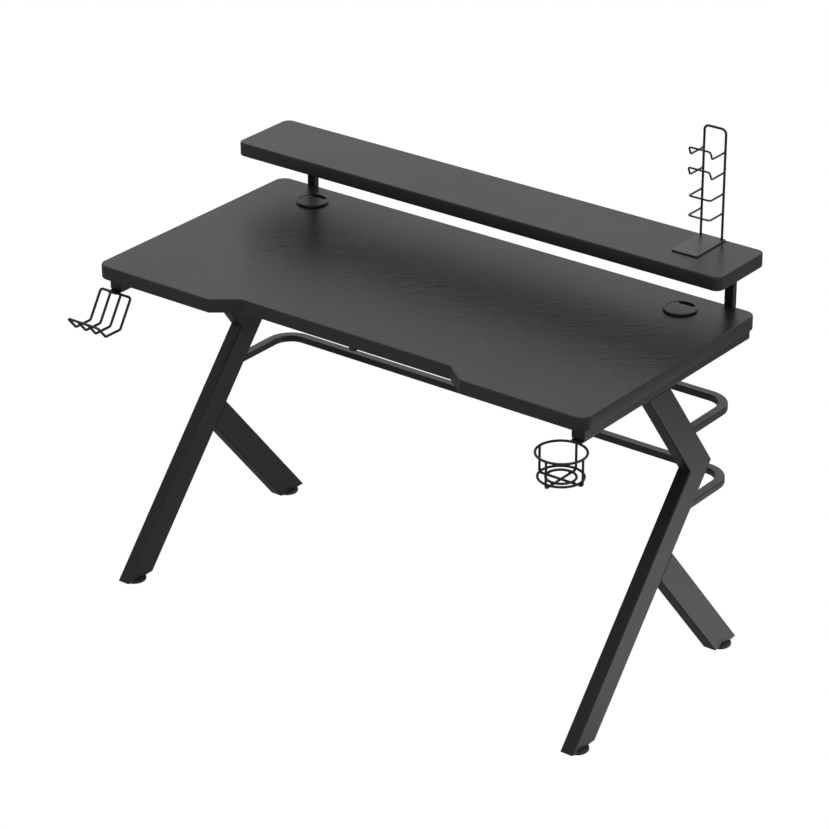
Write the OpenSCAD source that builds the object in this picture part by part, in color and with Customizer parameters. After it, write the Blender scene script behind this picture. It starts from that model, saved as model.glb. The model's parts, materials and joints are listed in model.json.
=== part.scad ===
// Gaming desk with a raised monitor shelf, a stand for controllers on the
// shelf, and wire holders for a cup and for controllers under the desktop.
// Millimetres, +Z up, +Y towards the back. The origin is on the floor, under
// the middle of the whole outline. Places along X are written from the middle
// between the side frames and places along Y from the desktop's front edge.
// They are moved to the origin at the end, by framed().

/* [Desktop] */
// Width of the desktop, side to side
desk_w = 1210; // [1100:10:1500]
// How far the desktop and the shelf sit to the left of the frames' middle
board_shift = 5; // [0:0.5:8]
// Depth of the desktop, front to back
desk_d = 600; // [570:5:680]
// Thickness of the desktop board
desk_t = 30; // [25:1:40]
// Height of the desktop's upper face above the floor
table_h = 735; // [710:5:780]
// Radius of the desktop's four corners
desk_corner_r = 25; // [5:1:50]
// Width of the front cut-out at the front edge
notch_w = 624; // [540:2:800]
// Width of the front cut-out at its back
notch_inner_w = 520; // [300:2:530]
// Depth of the front cut-out
notch_d = 40; // [10:1:60]

/* [Monitor shelf] */
// Depth of the shelf, front to back
shelf_d = 170; // [150:5:230]
// Thickness of the shelf board
shelf_t = 30; // [25:1:40]
// Height of the shelf's upper face above the desktop's upper face
shelf_rise = 126; // [90:2:180]
// How far the shelf stands out behind the desktop
shelf_overhang = 21; // [18:1:40]
// Radius of the shelf's four corners
shelf_corner_r = 18; // [5:1:50]

/* [Shelf posts] */
// Width of a post, side to side
post_w = 20; // [15:1:30]
// Depth of a post, front to back
post_d = 15; // [12:1:17]
// Wall of a post
post_wall = 1.5; // [1:0.1:2]
// Distance from the side of an unshifted desktop to the middle of a post
post_inset = 74.5; // [68:0.5:95]
// Width of the plates at the ends of a post
post_plate_w = 40; // [36:1:46]
// Thickness of the plates at the ends of a post
post_plate_t = 3; // [2:0.5:4]
// Length of the foot plate under the desktop
foot_plate_l = 95; // [80:1:110]
// Length of the head plate under the shelf
head_plate_l = 75; // [65:1:90]
// Distance from a plate's front screw to its front edge
post_screw_margin = 10; // [8:0.5:14]
// Distance from the desktop's back edge to the foot plate's rear screw
foot_screw_back = 20; // [15:0.5:30]
// Distance from the desktop's back edge to the head plate's rear screw
head_screw_back = 10; // [8:0.5:20]

/* [Side frames] */
// Width of the rails and legs, side to side
frame_w = 30; // [28:1:40]
// Height of the rail under the desktop
rail_h = 25; // [20:1:40]
// Depth of a leg tube, square to its length
leg_d = 60; // [50:1:70]
// Wall of the rails and legs
frame_wall = 1.5; // [1:0.1:2.5]
// Rounding of the rails' and legs' edges
frame_edge_r = 3; // [2.6:0.1:5]
// Distance from the side of an unshifted desktop to the middle of the frame
frame_inset = 31; // [29:0.5:41]
// Distance from the desktop's front edge to the rail's front end
rail_front = 17; // [10:1:40]
// Distance from the desktop's back edge to the rail's back end
rail_back = 10; // [5:1:30]
// Distance from the desktop's back edge to the upper leg's front face, under the rail
leg_head_back = 366; // [350:1:380]
// Distance from the desktop's back edge to the knee's inner corner
knee_back = 210; // [190:1:230]
// Height of the knee's inner corner above the floor
knee_h = 467; // [450:1:490]
// Place of the lower leg's front corner at its foot, behind the desktop's front edge
toe_y = -2; // [-10:1:6]
// Distance from the desktop's back edge to the middle of the rear strut's foot
strut_foot_back = 50; // [30:1:70]
// Slope of the rear strut
strut_angle = 50; // [46:1:56]
// Thickness of a rail's end cap
end_cap_t = 2.5; // [2:0.5:4]
// Depth that an end cap's plug goes into the rail
end_cap_plug = 12; // [8:1:14]

/* [Stretchers] */
// Width of a stretcher tube, seen from above
bar_w = 20; // [16:1:24]
// Height of a stretcher tube
bar_h = 15; // [13:1:20]
// Wall of a stretcher tube
bar_wall = 1.2; // [1:0.1:1.5]
// Rounding of a stretcher tube's edges
bar_edge_r = 2.5; // [2:0.1:3.5]
// Radius of a stretcher's bends, at the middle of the tube
bar_bend_r = 50; // [40:1:70]
// Height of the upper stretcher's upper face above the floor
upper_bar_h = 555; // [530:1:600]
// Height of the lower stretcher's upper face above the floor
lower_bar_h = 392; // [340:1:420]
// Distance from the desktop's back edge to the stretchers' back face
bar_back = 29; // [20:1:50]
// Length of a spigot on the leg, at its middle
spigot_l = 40; // [34:1:60]

/* [Cable outlets] */
// Distance from the side of an unshifted desktop to the middle of an outlet
outlet_inset = 138.5; // [132:0.5:165]
// Distance from the desktop's back edge to the middle of an outlet
outlet_back = 75; // [60:1:100]
// Diameter of the hole in the desktop
outlet_hole_d = 60; // [50:1:66]
// Width of the liner's rim past the hole
outlet_rim_w = 5; // [3:0.5:8]
// Height of the liner's rim above the desktop
outlet_rim_h = 4; // [4:0.1:6]
// Wall of the liner's sleeve
outlet_wall = 1.8; // [1.4:0.1:2]
// Depth of the liner's sleeve in the board
outlet_sleeve = 22; // [15:1:24]
// Thickness of the turning cap
cap_t = 2.2; // [1.5:0.1:2.6]
// How far the cap's top lies under the rim's top
cap_drop = 0.8; // [0:0.1:1]
// Length of the cap's cable cut-out
cap_slot_l = 38; // [30:1:42]
// Distance from the cap's middle to its cable cut-out
cap_slot_back = 18; // [16:0.5:20]

/* [Controller stand] */
// Distance from the side of an unshifted shelf to the middle of the stand
stand_inset = 126; // [116:1:205]
// Thickness of the hoop's wire
hoop_wire_d = 5; // [3:0.5:5]
// Thickness of the hooks' and loops' wires
stand_wire_d = 4; // [3:0.5:5]
// Distance between the two uprights
stand_span = 49.5; // [44:0.5:50]
// Height of the hoop's top above the shelf
stand_h = 235; // [225:1:260]
// Distance from the shelf's back edge to the uprights
stand_back = 11; // [9:1:14]
// Width of the base plate
stand_plate_w = 60; // [58:1:70]
// Depth of the base plate
stand_plate_d = 107; // [100:1:120]
// Thickness of the base plate
stand_plate_t = 3; // [2:0.5:5]
// Distance from the shelf's back edge to the base plate's back edge
stand_plate_back = 3; // [1:0.5:5]
// Distance between the base plate's two screws
stand_screw_span = 54; // [40:1:70]
// Height of the lower loop above the shelf
lower_loop_h = 60; // [50:0.5:65]
// Height of the upper loop above the shelf
upper_loop_h = 101.5; // [90:0.5:110]
// Reach of the loops in front of the uprights
loop_reach = 49; // [42:1:60]
// Height of the lower hook above the shelf
lower_hook_h = 146; // [135:0.5:150]
// Height of the upper hook above the shelf
upper_hook_h = 188.5; // [178:0.5:195]
// Reach of the hooks' level part in front of the uprights
hook_reach = 47.5; // [36:0.5:50]
// Reach of the hooks' raised lip
hook_lip_reach = 7.5; // [5:0.5:12]
// Rise of the hooks' raised lip
hook_lip_rise = 17; // [15:0.5:22]
// Radius of the loops' and hooks' bends, at the middle of the wire
stand_bend_r = 5; // [4:0.5:6]
// Radius of the hoop's two upper bends, at the middle of the wire
hoop_bend_r = 10; // [6:0.5:14]

/* [Controller hanger] */
// Thickness of the hanger's wires
hanger_wire_d = 5.5; // [3:0.5:6]
// Width of the hanger, between its outer wires
hanger_w = 81.5; // [76:0.5:100]
// Distance from the rail's front end forward to the top bar
hanger_bar_front = 1.5; // [1:0.5:6]
// Reach of the hanger's fixing plate in front of the top bar
hanger_tongue = 12; // [5:0.5:16]
// Distance from the top bar forward to the hanger's floor
hanger_slope_d = 36; // [28:1:40]
// Depth of the hanger's floor
hanger_floor_d = 44; // [36:0.5:56]
// Height from the rail's underside down to the hanger's floor
hanger_drop = 64; // [54:0.5:76]
// Reach of the hanger's lip past its floor
hanger_lip_d = 22; // [14:0.5:26]
// Rise of the hanger's lip
hanger_lip_h = 26.5; // [20:0.5:32]
// Radius of the hanger's bends, at the middle of the wire
hanger_bend_r = 6; // [5:0.5:7]

/* [Cup holder] */
// Thickness of the cup holder's wires
cup_wire_d = 5; // [3:0.5:5]
// Radius of the top ring, at the middle of the wire
cup_r = 49; // [40:1:50]
// Depth from the top ring to the wires under the cup
cup_depth = 55.5; // [40:0.5:80]
// Radius of the ring on the floor of the holder
cup_floor_r = 29; // [20:1:34]
// Distance from the rail's front end forward to the cup's middle
cup_front = 52; // [51:0.5:60]
// How far the cup's middle is set in from the rail's middle
cup_side = 1.5; // [0:0.5:6]
// Radius of the cup holder's bends, at the middle of the wire
cup_bend_r = 5.5; // [4:0.5:6]

/* [Holder plates] */
// Thickness of the two holders' fixing plates
plate_t = 3; // [2:0.5:4]
// How far a fixing plate is narrower than the rail
plate_margin = 6; // [0:0.5:8]
// Length of a fixing plate under the rail
plate_seat = 60; // [52:1:70]
// Distance from a plate's two screws to its rear end and to the end cap's plug
plate_screw_end = 10; // [8:0.5:12]

/* [Cable hook] */
// Width of the hook under the middle of the desktop
cable_hook_w = 12; // [10:0.5:20]
// Thickness of the hook's strip
cable_hook_t = 2; // [1.5:0.1:3]
// Distance from the cut-out's edge back to the hook
cable_hook_back = 25; // [20:1:40]
// Height of the hook
cable_hook_h = 21; // [16:0.5:30]
// Depth of the hook's floor
cable_hook_d = 16; // [12:0.5:22]
// Height of the hook's lip
cable_hook_lip = 8; // [6:0.5:10]
// Length of the hook's fixing strip
cable_hook_seat = 42; // [34:1:50]
// Distance from the strip's rear end to its screw
cable_hook_screw_end = 10; // [7:0.5:12]

/* [Levelling feet] */
// Diameter of a foot
foot_d = 50; // [40:1:56]
// Thickness of a foot
foot_t = 6.2; // [5.5:0.1:10]
// Rounding of a foot's edges
foot_edge_r = 2; // [1:0.1:2.5]
// Distance from the desktop's front edge to the middle of the front feet
front_foot_y = 34; // [32:0.5:38]
// Distance from the desktop's back edge to the middle of the rear feet
rear_foot_back = 51; // [48:0.5:55]
// Diameter of a foot's stud
stud_d = 8; // [6:0.5:10]
// Length of a stud above the foot
stud_l = 28; // [24:1:30]
// Diameter of a stud's flange inside the foot
stud_flange_d = 16; // [12:0.5:20]
// Thickness of a stud's flange inside the foot
stud_flange_t = 2.5; // [2:0.1:3]
// Height of the threaded plug in the end of a leg
foot_plug_h = 18; // [14:0.5:22]

/* [Screws] */
// Diameter of the screws between the rails and the desktop
big_screw_d = 6; // [5:0.5:7]
// Diameter of the other screws
screw_d = 5; // [4:0.5:5.5]
// Depth of a large screw in the desktop
big_screw_bite = 14; // [10:1:18]
// Depth of a small screw in a board
screw_bite = 12; // [8:1:15]
// Wall of the threaded inserts in the boards
insert_wall = 1.5; // [1:0.1:2]
// Distance from a rail's fixing to what is next to it
rail_screw_margin = 30; // [20:1:40]

/* [Fits] */
// Gap between a screw and its hole
screw_gap = 0.2; // [0.1:0.05:0.4]
// Gap between a stud and its thread
stud_gap = 0.1; // [0.05:0.01:0.1]
// Gap around a moving cap, and above a foot
moving_gap = 0.3; // [0.3:0.05:0.5]
// Gap between a tube and what slides into it
plug_gap = 0.2; // [0.1:0.05:0.4]

/* [Hidden] */
$fn = 64;
SIDES = [-1, 1];

// Colours, as the object shows them
laminate_colour = "#3a3a3c";
frame_colour = "#2a2a2c";
wire_colour = "#1c1c1e";
plastic_colour = "#222224";
steel_colour = "#8d9094";
brass_colour = "#b59a55";

// Overrun of every cut past the face that it goes through
cut = 1;
// Reach of the half-space blocks and of the tubes that they cut to length
reach = desk_w + table_h;
// Sides of a sloped wire, and the parts of each of its bends
wire_sides = 12;
bend_parts = 4;
// Sizes of a screw's head, of its key's socket and of a nut, as shares of the thread
head_r_share = 0.95;
head_h_share = 0.55;
head_top_share = 0.7;
key_r_share = 0.35;
key_h_share = 0.3;
nut_r_share = 0.92;
nut_h_share = 0.8;

// Heights
desk_under = table_h - desk_t;
rail_under = desk_under - rail_h;
shelf_top = table_h + shelf_rise;
shelf_under = shelf_top - shelf_t;
leg_base = foot_t + moving_gap;

// Side frames
frame_x = desk_w / 2 - frame_inset;
rail_end = desk_d - rail_back;
leg_head_y = desk_d - leg_head_back;
knee_y = desk_d - knee_back;
strut_foot_y = desk_d - strut_foot_back;
rear_foot_y = desk_d - rear_foot_back;
lower_angle = atan2(knee_h - leg_base, knee_y - toe_y);
upper_angle = atan2(rail_under - knee_h, leg_head_y - knee_y);
knee_tilt = (lower_angle + upper_angle) / 2 - 90;
heel_y = toe_y + leg_d / sin(lower_angle);
leg_head_rear = leg_head_y + leg_d / sin(upper_angle);
lower_mid_y = (toe_y + heel_y) / 2;
upper_mid_y = (leg_head_y + leg_head_rear) / 2;
rail_screw_ys = [
  (rail_front + plate_seat + leg_head_y) / 2,
  leg_head_rear + rail_screw_margin,
  rail_end - rail_screw_margin
];

// Stretchers
upper_bar_z = upper_bar_h - bar_h / 2;
lower_bar_z = lower_bar_h - bar_h / 2;
bar_y = desk_d - bar_back - bar_w / 2;
upper_seat_y = leg_head_rear + (upper_bar_z - rail_under) / tan(upper_angle);
lower_seat_y = heel_y + (lower_bar_z - leg_base) / tan(lower_angle);
bar_screw_l = bar_wall + bar_h / 2;

// Shelf and its posts
shelf_back = desk_d + shelf_overhang;
post_x = desk_w / 2 - post_inset;
post_y = desk_d + post_d / 2;
post_rear = desk_d + post_d;
post_edge_r = post_wall + plug_gap;
foot_screw_ys = [
  post_rear - foot_plate_l + post_screw_margin,
  desk_d - foot_screw_back
];
head_screw_ys = [
  post_rear - head_plate_l + post_screw_margin,
  desk_d - head_screw_back
];
plate_screw_l = post_plate_t + screw_bite;

// Cable outlets
outlet_x = desk_w / 2 - outlet_inset;
outlet_y = desk_d - outlet_back;
sleeve_r = outlet_hole_d / 2 - plug_gap;
bore_r = sleeve_r - outlet_wall;
rim_r = outlet_hole_d / 2 + outlet_rim_w;
cap_r = sleeve_r + outlet_wall / 2;
recess_r = cap_r + moving_gap;
cap_under = table_h + outlet_rim_h - cap_drop - cap_t;
cap_slot_d = cap_r - cap_slot_back;

// Controller stand
hoop_wire_r = hoop_wire_d / 2;
stand_wire_r = stand_wire_d / 2;
stand_x = desk_w / 2 - stand_inset;
stand_y = shelf_back - stand_back;
stand_plate_rear = shelf_back - stand_plate_back;
stand_plate_y = stand_plate_rear - stand_plate_d / 2;
stand_screw_ys = [
  stand_plate_y - stand_screw_span / 2,
  stand_plate_y + stand_screw_span / 2
];

// Controller hanger
hanger_wire_r = hanger_wire_d / 2;
hanger_bar_y = rail_front - hanger_bar_front;
hanger_bar_z = rail_under - plate_t - hanger_wire_r;
hanger_back_y = hanger_bar_y - hanger_slope_d;
hanger_front_y = hanger_back_y - hanger_floor_d;
hanger_tip_y = hanger_front_y - hanger_lip_d;
hanger_floor_z = rail_under - hanger_drop;
hanger_tip_z = hanger_floor_z + hanger_lip_h;
hanger_wire_gap = hanger_w / 3;

// Cup holder
cup_wire_r = cup_wire_d / 2;
cup_x = frame_x - cup_side;
cup_y = rail_front - cup_front;
cup_ring_z = rail_under - plate_t - cup_wire_r;
cup_base_z = cup_ring_z - cup_depth;
cup_lower_z = cup_base_z + cup_bend_r;
cup_lower_r = cup_r - cup_wire_d;
cup_floor_z = cup_base_z + cup_wire_d;

// Fixing plates of the two holders
plate_w = frame_w - plate_margin;
plate_rear = rail_front + plate_seat;
plate_screw_ys = [
  rail_front + end_cap_t + end_cap_plug + plate_screw_end,
  plate_rear - plate_screw_end
];
nut_h = nut_h_share * screw_d;
nut_r = nut_r_share * screw_d;
holder_screw_l = plate_t + frame_wall + nut_h;

// Cable hook
cable_hook_y = notch_d + cable_hook_back;
cable_hook_screw_y = cable_hook_y + cable_hook_seat - cable_hook_screw_end;

// The middle of the whole outline
left_reach = max(frame_x + hanger_w / 2 + hanger_wire_r, desk_w / 2 + board_shift);
right_reach = max(cup_x + cup_r + cup_wire_r, desk_w / 2 - board_shift);
front_reach = min(hanger_tip_y - hanger_wire_r, cup_y - cup_r - cup_wire_r, toe_y);
origin_x = (right_reach - left_reach) / 2;
origin_y = (front_reach + shelf_back) / 2;

// Helper shapes

// Moves a piece to the origin
module framed() {
  translate([-origin_x, -origin_y, 0])
    children();
}

// Rectangle with round corners, centred
module rounded_plan(w, d, r) {
  square([w, d - 2 * r], center = true);
  square([w - 2 * r, d], center = true);
  for (sx = SIDES, sy = SIDES)
    translate([sx * (w / 2 - r), sy * (d / 2 - r)])
      circle(r = r);
}

// Section of a rectangular tube
module tube_plan(w, d, r, wall) {
  difference() {
    rounded_plan(w, d, r);
    rounded_plan(w - 2 * wall, d - 2 * wall, r - wall);
  }
}

// Half-space under a plane through a point of the side view, sloping at an angle
module below(y, z, angle) {
  translate([0, y, z])
    rotate([angle, 0, 0])
      translate([-reach, -reach, -2 * reach])
        cube(2 * reach);
}

// Half-space over the same plane
module above(y, z, angle) {
  translate([0, y, z])
    rotate([angle, 0, 0])
      translate([-reach, -reach, 0])
        cube(2 * reach);
}

// Turns +Y of a plan into the slope of a tube whose middle passes a point
module sloped(x, y, z, angle) {
  translate([x, y, z])
    rotate([angle - 90, 0, 0])
      linear_extrude(height = 2 * reach, center = true)
        children();
}

function unit(v) = v / norm(v);
function turn(a, b) = acos(max(-1, min(1, a * b)));
function roll(a, b, axis) = atan2(cross(a, b) * axis, a * b);
function directions(points) = [for (i = [1 : len(points) - 1]) unit(points[i] - points[i - 1])];

// Straight round wire between two points
module rod(from, to, r) {
  d = unit(to - from);
  translate(from)
    rotate([0, acos(max(-1, min(1, d.z))), atan2(d.y, d.x)])
      cylinder(h = norm(to - from), r = r);
}

// Round wire with a right-angled bend at each inner point of its list. Each
// straight and each bend is drawn in the frame where the one before it ends.
module wire(points, r, bend_r) {
  last = len(points) - 1;
  steps = directions(points);
  normals = [for (i = [1 : last - 1]) unit(cross(steps[i - 1], steps[i]))];
  heading = steps[0];
  inward = unit(cross(normals[0], heading));
  tilt = acos(max(-1, min(1, heading.z)));
  swing = atan2(heading.y, heading.x);
  side = [cos(tilt) * cos(swing), cos(tilt) * sin(swing), -sin(tilt)];
  ahead = [-sin(swing), cos(swing), 0];
  translate(points[0])
    rotate([0, tilt, swing])
      rotate([0, 0, atan2(inward * ahead, inward * side)])
        wire_from(0, points, steps, normals, r, bend_r);
}

// Rest of a wire, from one of its points on. +Z runs along the wire and +X
// points to the inside of its next bend.
module wire_from(i, points, steps, normals, r, bend_r) {
  last = len(steps) - 1;
  back = i == 0 ? 0 : bend_r;
  front = i == last ? 0 : bend_r;
  length = norm(points[i + 1] - points[i]) - back - front;
  cylinder(h = length, r = r);
  if (i < last)
    translate([bend_r, 0, length]) {
      rotate([90, 0, 180])
        rotate_extrude(angle = 90)
          translate([bend_r, 0])
            circle(r = r);
      rotate([0, 90, 0])
        translate([-bend_r, 0, 0])
          rotate([0, 0, i + 1 < last ? roll(normals[i], normals[i + 1], steps[i + 1]) : 0])
            wire_from(i + 1, points, steps, normals, r, bend_r);
    }
}

// Places along a sloped wire: [point, direction] at its ends and round its bends
function stations(points, bend_r) =
  let (
    last = len(points) - 1,
    steps = directions(points)
  )
  concat(
    [[points[0], steps[0]]],
    [
      for (i = [1 : last - 1])
        let (
          a = steps[i - 1],
          bend = turn(a, steps[i]),
          inward = unit(cross(cross(a, steps[i]), a)),
          centre = points[i] - a * bend_r * tan(bend / 2) + inward * bend_r
        )
        for (k = [0 : bend_parts])
          let (t = bend * k / bend_parts)
          [centre + (a * sin(t) - inward * cos(t)) * bend_r, a * cos(t) + inward * sin(t)]
    ],
    [[points[last], steps[last - 1]]]
  );

// Side directions at the places along a wire, carried on without a twist
function carried(places, first) = [
  for (i = 0, u = first; i < len(places);
      i = i + 1, u = i < len(places) ? unit(u - places[i][1] * (u * places[i][1])) : u)
    u
];

// Round wire with sloping bends, as one skin over its places
module sloped_wire(points, r, bend_r) {
  places = stations(points, bend_r);
  sides = carried(places, [1, 0, 0]);
  rings = len(places);
  skin = [
    for (i = [0 : rings - 1], k = [0 : wire_sides - 1])
      let (t = 360 * k / wire_sides)
      places[i][0] + (sides[i] * cos(t) + cross(places[i][1], sides[i]) * sin(t)) * r
  ];
  walls = [
    for (i = [0 : rings - 2], k = [0 : wire_sides - 1])
      let (
        a = i * wire_sides + k,
        b = i * wire_sides + (k + 1) % wire_sides
      )
      each [[a, a + wire_sides, b], [b, a + wire_sides, b + wire_sides]]
  ];
  start = [for (k = [0 : wire_sides - 1]) k];
  end = [for (k = [wire_sides - 1 : -1 : 0]) (rings - 1) * wire_sides + k];
  polyhedron(points = skin, faces = concat(walls, [start, end]), convexity = 6);
}

// Ring of round wire, lying flat
module ring(x, y, z, r, wire_r) {
  translate([x, y, z])
    rotate_extrude()
      translate([r, 0])
        circle(r = wire_r);
}

// Button-head screw that goes up, with its head under the given height
module screw(x, y, z, d, l) {
  head_r = head_r_share * d;
  head_h = head_h_share * d;
  translate([x, y, z])
    difference() {
      union() {
        cylinder(h = l, r = d / 2);
        translate([0, 0, -head_h / 2])
          cylinder(h = head_h / 2, r = head_r);
        translate([0, 0, -head_h])
          cylinder(h = head_h / 2, r1 = head_top_share * d, r2 = head_r);
      }
      translate([0, 0, -head_h - cut])
        cylinder(h = key_h_share * d + cut, r = key_r_share * d, $fn = 6);
    }
}

// Hole for a screw or a pin, up from the given height
module hole(x, y, z, r, h) {
  translate([x, y, z])
    cylinder(h = h, r = r);
}

// Threaded insert for a screw, up from the given height
module insert(x, y, z, d, l) {
  translate([x, y, z])
    difference() {
      cylinder(h = l, r = d / 2 + insert_wall);
      translate([0, 0, -cut])
        cylinder(h = l + 2 * cut, r = d / 2 + screw_gap);
    }
}

// Blind hole in a board for an insert, with room past the screw's tip
module insert_hole(x, y, z, d, l) {
  hole(x, y, z - cut, d / 2 + insert_wall + screw_gap / 2, l + 2 * cut);
}

// Boards

module desktop() {
  color(laminate_colour)
    framed()
      difference() {
        translate([-board_shift, desk_d / 2, desk_under])
          linear_extrude(height = desk_t)
            rounded_plan(desk_w, desk_d, desk_corner_r);
        translate([0, 0, desk_under - cut])
          linear_extrude(height = desk_t + 2 * cut)
            notch_plan();
        for (s = SIDES) {
          hole(s * outlet_x, outlet_y, desk_under - cut, outlet_hole_d / 2, desk_t + 2 * cut);
          for (y = rail_screw_ys)
            insert_hole(s * frame_x, y, desk_under, big_screw_d, big_screw_bite);
          for (y = foot_screw_ys)
            insert_hole(s * post_x, y, desk_under, screw_d, screw_bite);
        }
        insert_hole(0, cable_hook_screw_y, desk_under, screw_d, screw_bite);
      }
}

// Outline of the front cut-out, run on in front of the desktop
module notch_plan() {
  run_on = cut * (notch_w - notch_inner_w) / (2 * notch_d);
  polygon([
    [-notch_w / 2 - run_on, -cut],
    [-notch_inner_w / 2, notch_d],
    [notch_inner_w / 2, notch_d],
    [notch_w / 2 + run_on, -cut]
  ]);
}

module shelf() {
  color(laminate_colour)
    framed()
      difference() {
        translate([-board_shift, shelf_back - shelf_d / 2, shelf_under])
          linear_extrude(height = shelf_t)
            rounded_plan(desk_w, shelf_d, shelf_corner_r);
        for (s = SIDES, y = head_screw_ys)
          insert_hole(s * post_x, y, shelf_under, screw_d, screw_bite);
        for (y = stand_screw_ys)
          hole(stand_x, y, shelf_under - cut, screw_d / 2 + screw_gap, shelf_t + 2 * cut);
      }
}

// Side frames: s is -1 on the left and 1 on the right

module rail(s) {
  color(frame_colour)
    framed()
      difference() {
        translate([s * frame_x, rail_end - end_cap_t, rail_under + rail_h / 2])
          rotate([90, 0, 0])
            linear_extrude(height = rail_end - rail_front - 2 * end_cap_t)
              tube_plan(frame_w, rail_h, frame_edge_r, frame_wall);
        for (y = rail_screw_ys)
          hole(s * frame_x, y, rail_under - cut, big_screw_d / 2 + screw_gap, rail_h + 2 * cut);
        for (y = plate_screw_ys)
          hole(s * frame_x, y, rail_under - cut, screw_d / 2 + screw_gap, frame_wall + 2 * cut);
      }
}

module upper_leg(s) {
  color(frame_colour)
    framed()
      intersection() {
        sloped(s * frame_x, upper_mid_y, rail_under, upper_angle)
          tube_plan(frame_w, leg_d, frame_edge_r, frame_wall);
        above(knee_y, knee_h, knee_tilt);
        below(0, rail_under, 0);
      }
}

module lower_leg(s) {
  color(frame_colour)
    framed()
      intersection() {
        sloped(s * frame_x, lower_mid_y, leg_base, lower_angle)
          tube_plan(frame_w, leg_d, frame_edge_r, frame_wall);
        below(knee_y, knee_h, knee_tilt);
        above(0, leg_base, 0);
      }
}

module rear_strut(s) {
  color(frame_colour)
    framed()
      intersection() {
        sloped(s * frame_x, strut_foot_y, leg_base, 180 - strut_angle)
          tube_plan(frame_w, leg_d, frame_edge_r, frame_wall);
        below(heel_y, leg_base, lower_angle);
        above(0, leg_base, 0);
      }
}

module rail_end_caps() {
  plug_w = frame_w - 2 * (frame_wall + plug_gap);
  plug_h = rail_h - 2 * (frame_wall + plug_gap);
  plug_r = frame_edge_r - frame_wall;
  color(plastic_colour)
    framed()
      for (s = SIDES, back = [0, 1])
        translate([s * frame_x, back ? rail_end : rail_front, rail_under + rail_h / 2])
          mirror([0, back, 0])
            rotate([90, 0, 0]) {
              translate([0, 0, -end_cap_t])
                linear_extrude(height = end_cap_t)
                  rounded_plan(frame_w, rail_h, frame_edge_r);
              translate([0, 0, -end_cap_t - end_cap_plug])
                linear_extrude(height = end_cap_plug)
                  rounded_plan(plug_w, plug_h, plug_r);
            }
}

// Plug in the end of a leg, with the thread for the foot's stud
module foot_plug(s, mid_y, angle, y) {
  inset = frame_wall + plug_gap;
  difference() {
    intersection() {
      sloped(s * frame_x, mid_y, leg_base, angle)
        rounded_plan(frame_w - 2 * inset, leg_d - 2 * inset, frame_edge_r - frame_wall);
      above(0, leg_base, 0);
      below(0, leg_base + foot_plug_h, 0);
    }
    hole(s * frame_x, y, leg_base - cut, stud_d / 2 + stud_gap, foot_plug_h + 2 * cut);
  }
}

module foot_plugs() {
  color(plastic_colour)
    framed()
      for (s = SIDES) {
        foot_plug(s, lower_mid_y, lower_angle, front_foot_y);
        foot_plug(s, strut_foot_y, 180 - strut_angle, rear_foot_y);
      }
}

// Stretchers

// Whole U of a stretcher before its ends are cut to the legs
module stretcher_bend(z) {
  bend_y = bar_y - bar_bend_r;
  bend_x = frame_x - bar_bend_r;
  for (s = SIDES) {
    translate([s * frame_x, bend_y, z])
      rotate([90, 0, 0])
        linear_extrude(height = bend_y)
          tube_plan(bar_w, bar_h, bar_edge_r, bar_wall);
    translate([s * bend_x, bend_y, z])
      rotate([0, 0, s > 0 ? 0 : 90])
        rotate_extrude(angle = 90)
          translate([bar_bend_r, 0])
            tube_plan(bar_w, bar_h, bar_edge_r, bar_wall);
  }
  translate([-bend_x, bar_y, z])
    rotate([90, 0, 90])
      linear_extrude(height = 2 * bend_x)
        tube_plan(bar_w, bar_h, bar_edge_r, bar_wall);
}

module upper_stretcher() {
  color(frame_colour)
    framed()
      difference() {
        intersection() {
          stretcher_bend(upper_bar_z);
          below(leg_head_rear, rail_under, upper_angle);
        }
        for (s = SIDES)
          bar_screw_hole(s, upper_seat_y, upper_bar_z);
      }
}

module lower_stretcher() {
  color(frame_colour)
    framed()
      difference() {
        intersection() {
          stretcher_bend(lower_bar_z);
          below(heel_y, leg_base, lower_angle);
        }
        for (s = SIDES)
          bar_screw_hole(s, lower_seat_y, lower_bar_z);
      }
}

// Hole through the lower wall of an arm, and into the spigot inside it
module bar_screw_hole(s, seat_y, z) {
  hole(s * frame_x, seat_y + spigot_l / 2, z - bar_h / 2 - cut,
    screw_d / 2 + screw_gap, bar_wall + plug_gap + cut);
}

module spigot(s, seat_y, z) {
  inset = bar_wall + plug_gap;
  difference() {
    translate([s * frame_x, seat_y + spigot_l, z])
      rotate([90, 0, 0])
        linear_extrude(height = 2 * spigot_l)
          rounded_plan(bar_w - 2 * inset, bar_h - 2 * inset, bar_edge_r - bar_wall);
    hole(s * frame_x, seat_y + spigot_l / 2, z - bar_h / 2,
      screw_d / 2 + screw_gap, bar_screw_l + screw_gap);
  }
}

module stretcher_spigots() {
  color(steel_colour)
    framed()
      for (s = SIDES) {
        intersection() {
          spigot(s, upper_seat_y, upper_bar_z);
          below(leg_head_rear, rail_under, upper_angle);
        }
        intersection() {
          spigot(s, lower_seat_y, lower_bar_z);
          below(heel_y, leg_base, lower_angle);
        }
      }
}

module stretcher_screws() {
  color(steel_colour)
    framed()
      for (s = SIDES) {
        screw(s * frame_x, upper_seat_y + spigot_l / 2, upper_bar_z - bar_h / 2, screw_d, bar_screw_l);
        screw(s * frame_x, lower_seat_y + spigot_l / 2, lower_bar_z - bar_h / 2, screw_d, bar_screw_l);
      }
}

// Shelf posts and what fixes the boards

module shelf_post(s) {
  color(frame_colour)
    framed()
      translate([s * post_x, post_y, desk_under])
        linear_extrude(height = shelf_under - post_plate_t - desk_under)
          tube_plan(post_w, post_d, post_edge_r, post_wall);
}

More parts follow.
